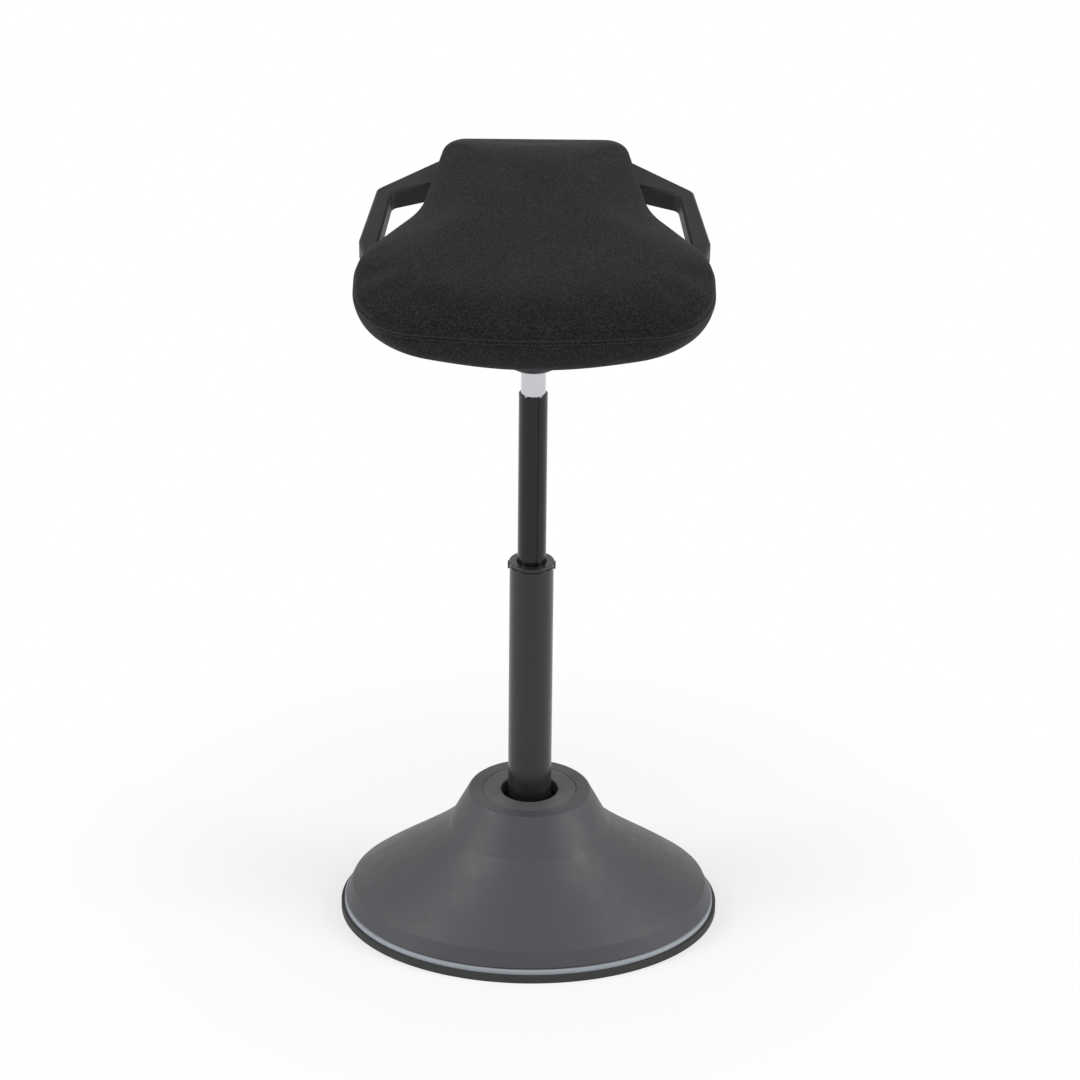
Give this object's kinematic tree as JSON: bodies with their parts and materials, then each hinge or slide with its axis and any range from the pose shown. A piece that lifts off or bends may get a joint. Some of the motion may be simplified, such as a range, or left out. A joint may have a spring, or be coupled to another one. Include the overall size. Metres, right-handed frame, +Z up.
{
  "type": "perch stool",
  "caption": "Height-adjustable perch stool with a forward-sloping saddle seat, side handles, a tilting gas column and a weighted oval foot.",
  "frame": {"origin": "on the floor under the middle of the oval foot, on the column axis", "axes": "+Z up along the column; +X across the seat, towards the lever side; +Y towards the raised narrow end of the seat, so the wide low end looks along -Y"},
  "size_m": [0.438, 0.3871, 0.8857],
  "materials": {
    "foot_mat": "matt",
    "base_plate": "powder coated",
    "trim_ring": "satin",
    "dome_cover": "fine grained",
    "neck_insert": "matt",
    "socket_housing": "cast",
    "ball_liner": "natural",
    "retainer_ring": "turned",
    "elastomer_ring": "matt",
    "housing_bolts": "zinc plated",
    "retainer_screws": "zinc plated",
    "cover_screws": "zinc plated",
    "ball_foot": "ground",
    "outer_tube": "satin black",
    "rod_plate": "plain",
    "thrust_washer": "plain",
    "rod_clip": "spring steel",
    "bump_stop": "matt",
    "piston_rod": "ground",
    "piston": "turned",
    "guide_collar": "satin",
    "gas_cylinder": "polished",
    "rod_guide": "plain",
    "valve_pin": "ground",
    "cylinder_sleeve": "gloss black",
    "lower_guide": "plain",
    "taper_hub": "powder coated",
    "release_lever": "powder coated",
    "lever_grip": "matt",
    "lever_pin": "plain",
    "mechanism_cover": "fine grained",
    "pod_screws": "blackened",
    "seat_board": "plywood",
    "t_nuts": "zinc plated",
    "seat_bolts": "blackened",
    "handle_screws": "blackened",
    "cushion": "fine knit",
    "right_handle": "matt",
    "left_handle": "matt"
  },
  "bodies": {
    "base": {"foot_mat": "foot_mat", "base_plate": "base_plate", "trim_ring": "trim_ring", "dome_cover": "dome_cover", "neck_insert": "neck_insert", "socket_housing": "socket_housing", "retainer_ring": "retainer_ring", "elastomer_ring": "elastomer_ring", "housing_bolts": "housing_bolts", "retainer_screws": "retainer_screws", "cover_screws": "cover_screws"},
    "liner": {"ball_liner": "ball_liner"},
    "column": {"ball_foot": "ball_foot", "outer_tube": "outer_tube", "rod_plate": "rod_plate", "thrust_washer": "thrust_washer", "rod_clip": "rod_clip", "bump_stop": "bump_stop", "piston_rod": "piston_rod", "piston": "piston", "guide_collar": "guide_collar"},
    "upper": {"gas_cylinder": "gas_cylinder", "rod_guide": "rod_guide", "cylinder_sleeve": "cylinder_sleeve", "lower_guide": "lower_guide", "taper_hub": "taper_hub", "lever_pin": "lever_pin", "mechanism_cover": "mechanism_cover", "pod_screws": "pod_screws", "seat_board": "seat_board", "t_nuts": "t_nuts", "seat_bolts": "seat_bolts", "handle_screws": "handle_screws", "cushion": "cushion", "right_handle": "right_handle", "left_handle": "left_handle"},
    "lever": {"release_lever": "release_lever", "lever_grip": "lever_grip"},
    "valve": {"valve_pin": "valve_pin"}
  },
  "joints": [
    {"name": "lean_sideways_axis_y", "type": "hinge", "parent": "liner", "child": "column", "pos_m": [0, 0, 0.105], "axis": [0, 1, 0], "range_deg": [-5, 5], "stiffness_Nm_per_rad": 300, "deforming": ["elastomer_ring"]},
    {"name": "lean_forward_axis_x", "type": "hinge", "parent": "base", "child": "liner", "pos_m": [0, 0, 0.105], "axis": [1, 0, 0], "range_deg": [-5, 5], "stiffness_Nm_per_rad": 300, "deforming": ["elastomer_ring"]},
    {"name": "height", "type": "slide", "parent": "column", "child": "upper", "axis": [0, 0, 1], "range_m": [-0.2, 0]},
    {"name": "release", "type": "hinge", "parent": "upper", "child": "lever", "pos_m": [0.025, 0, 0.782], "axis": [0, -1, 0], "range_deg": [0, 5], "stiffness_Nm_per_rad": 5},
    {"name": "valve", "type": "slide", "parent": "upper", "child": "valve", "axis": [0, 0, -1], "range_m": [0, 0.003]}
  ],
  "couplings": [
    {"joint": "valve", "follows": "release", "m_per_rad": 0.0265}
  ]
}
